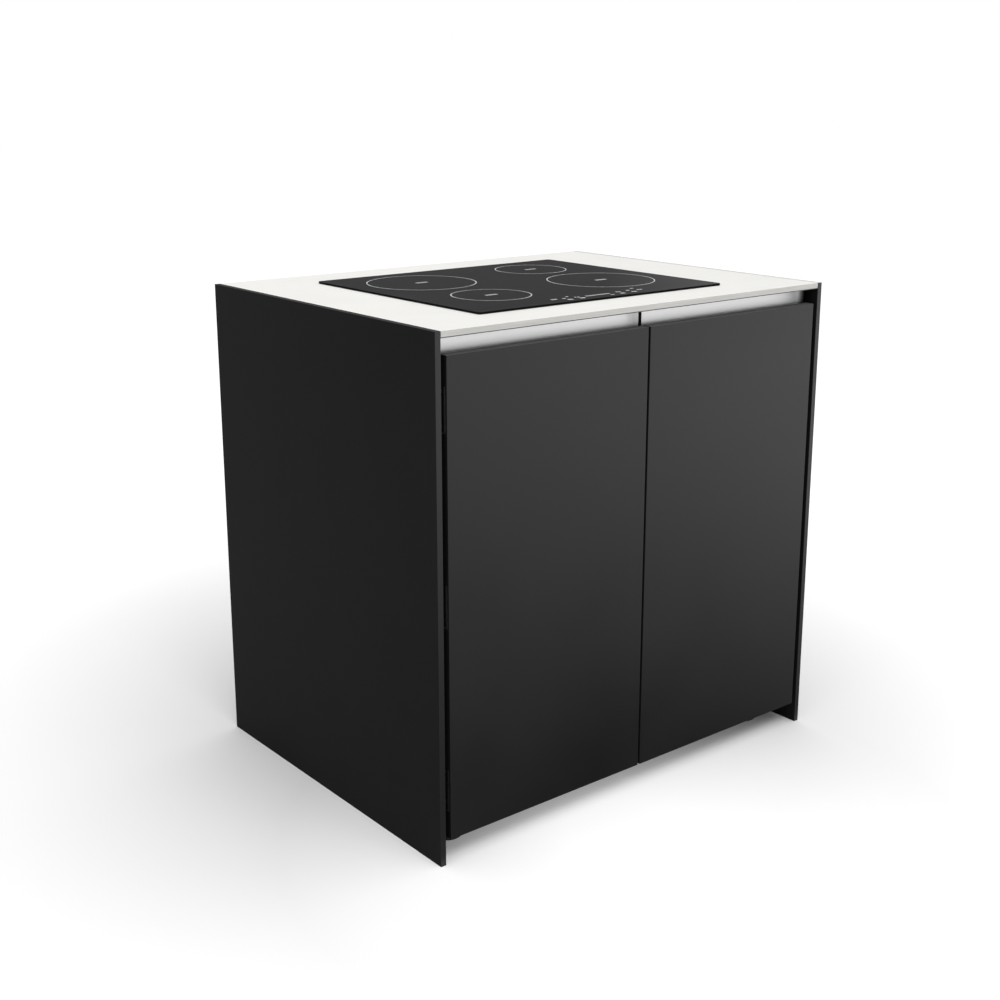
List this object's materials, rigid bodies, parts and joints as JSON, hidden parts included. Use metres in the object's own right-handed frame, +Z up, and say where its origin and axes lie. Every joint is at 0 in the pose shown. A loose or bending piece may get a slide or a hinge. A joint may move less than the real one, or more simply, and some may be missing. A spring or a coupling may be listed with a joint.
{
  "type": "kitchen base unit with induction hob",
  "caption": "Free-standing kitchen base unit: dark side panels, thin pale worktop, flat induction hob, steel grip channel and hinged handle-less doors over shelved cupboards.",
  "frame": {"origin": "on the floor at the middle of the footprint", "axes": "+Z up, the doors face -Y, +X to the right as seen from the front"},
  "size_m": [0.94, 0.72, 0.9345],
  "materials": {
    "black_panel": "black compact laminate, fine matt grain",
    "black_board": "black-stained board strip",
    "worktop_stone": "warm white sintered stone, satin",
    "door_laminate": "super-matt black laminate",
    "brushed_channel": "brushed along its length",
    "black_plastic": "moulded, fine texture",
    "hob_glass": "polished black glass-ceramic with pale grey print",
    "black_rubber": "foam seal",
    "clear_rubber": "clear soft buffer",
    "black_metal": "black coated steel",
    "pin_steel": "turned steel",
    "screw_zinc": "zinc plated",
    "galvanised_sheet": "galvanised sheet steel",
    "aluminium_sheet": "mill finish",
    "ferrite": "dark sintered ferrite",
    "coil_copper": "enamelled copper litz wire",
    "mica": "pressed mica",
    "sensor_ceramic": "white ceramic",
    "circuit_board": "solder-masked board",
    "pale_plastic": "moulded, heat-proof",
    "shield_board": "grey fibre-cement faced board",
    "carcass_board": "anthracite melamine-faced board"
  },
  "bodies": {
    "cabinet": {"side_panel_left": "black_panel", "side_panel_right": "black_panel", "rear_panel": "black_panel", "worktop": "worktop_stone", "carcass_side_left": "carcass_board", "carcass_side_right": "carcass_board", "carcass_bottom": "carcass_board", "carcass_back": "carcass_board", "centre_partition": "carcass_board", "front_rail": "carcass_board", "rear_rail": "carcass_board", "heat_shield": "shield_board", "shield_cleats": "carcass_board", "panel_spacers": "black_board", "shelf_left": "carcass_board", "shelf_right": "carcass_board", "shelf_pins": "pin_steel", "grip_channel_left": "brushed_channel", "grip_channel_right": "brushed_channel", "channel_end_caps": "brushed_channel", "channel_divider": "black_plastic", "channel_screws": "screw_zinc", "frame_leaves": "black_metal", "frame_leaf_screws": "screw_zinc", "carcass_screws": "screw_zinc", "panel_screws": "screw_zinc", "foot_sockets": "black_plastic", "door_buffers": "clear_rubber", "door_magnets": "black_plastic", "cable_grommet": "black_plastic", "hob_glass": "hob_glass", "hob_seal": "black_rubber", "hob_casing": "galvanised_sheet", "hob_clips": "galvanised_sheet", "coil_plate": "aluminium_sheet", "coil_carriers": "ferrite", "induction_coils": "coil_copper", "mica_sheets": "mica", "zone_sensors": "sensor_ceramic", "touch_board": "circuit_board", "power_boards": "circuit_board", "heat_sinks": "aluminium_sheet", "fan_housing": "black_plastic", "terminal_block": "pale_plastic", "cable_gland": "black_plastic"},
    "left_door": {"door_left": "door_laminate", "door_leaves_left": "black_metal", "hinge_pins_left": "pin_steel", "leaf_screws_left": "screw_zinc", "strike_plate_left": "black_metal"},
    "right_door": {"door_right": "door_laminate", "door_leaves_right": "black_metal", "hinge_pins_right": "pin_steel", "leaf_screws_right": "screw_zinc", "strike_plate_right": "black_metal"},
    "fan": {"fan_rotor": "black_plastic"},
    "foot_front_left": {"foot_front_left": "black_plastic"},
    "foot_front_right": {"foot_front_right": "black_plastic"},
    "foot_back_left": {"foot_back_left": "black_plastic"},
    "foot_back_right": {"foot_back_right": "black_plastic"}
  },
  "joints": [
    {"name": "left_door_swing", "type": "hinge", "parent": "cabinet", "child": "left_door", "pos_m": [-0.443, -0.35, 0.4675], "axis": [0, 0, -1], "range_deg": [0, 100]},
    {"name": "right_door_swing", "type": "hinge", "parent": "cabinet", "child": "right_door", "pos_m": [0.443, -0.35, 0.4675], "axis": [0, 0, 1], "range_deg": [0, 100]},
    {"name": "fan_spin", "type": "hinge", "parent": "cabinet", "child": "fan", "pos_m": [-0.0145, 0.117, 0.894], "axis": [0, 0, 1], "continuous": true},
    {"name": "foot_front_left_turn", "type": "hinge", "parent": "cabinet", "child": "foot_front_left", "pos_m": [-0.392, -0.272, 0.03], "axis": [0, 0, 1], "continuous": true},
    {"name": "foot_front_right_turn", "type": "hinge", "parent": "cabinet", "child": "foot_front_right", "pos_m": [0.392, -0.272, 0.03], "axis": [0, 0, 1], "continuous": true},
    {"name": "foot_back_left_turn", "type": "hinge", "parent": "cabinet", "child": "foot_back_left", "pos_m": [-0.392, 0.272, 0.03], "axis": [0, 0, 1], "continuous": true},
    {"name": "foot_back_right_turn", "type": "hinge", "parent": "cabinet", "child": "foot_back_right", "pos_m": [0.392, 0.272, 0.03], "axis": [0, 0, 1], "continuous": true}
  ]
}
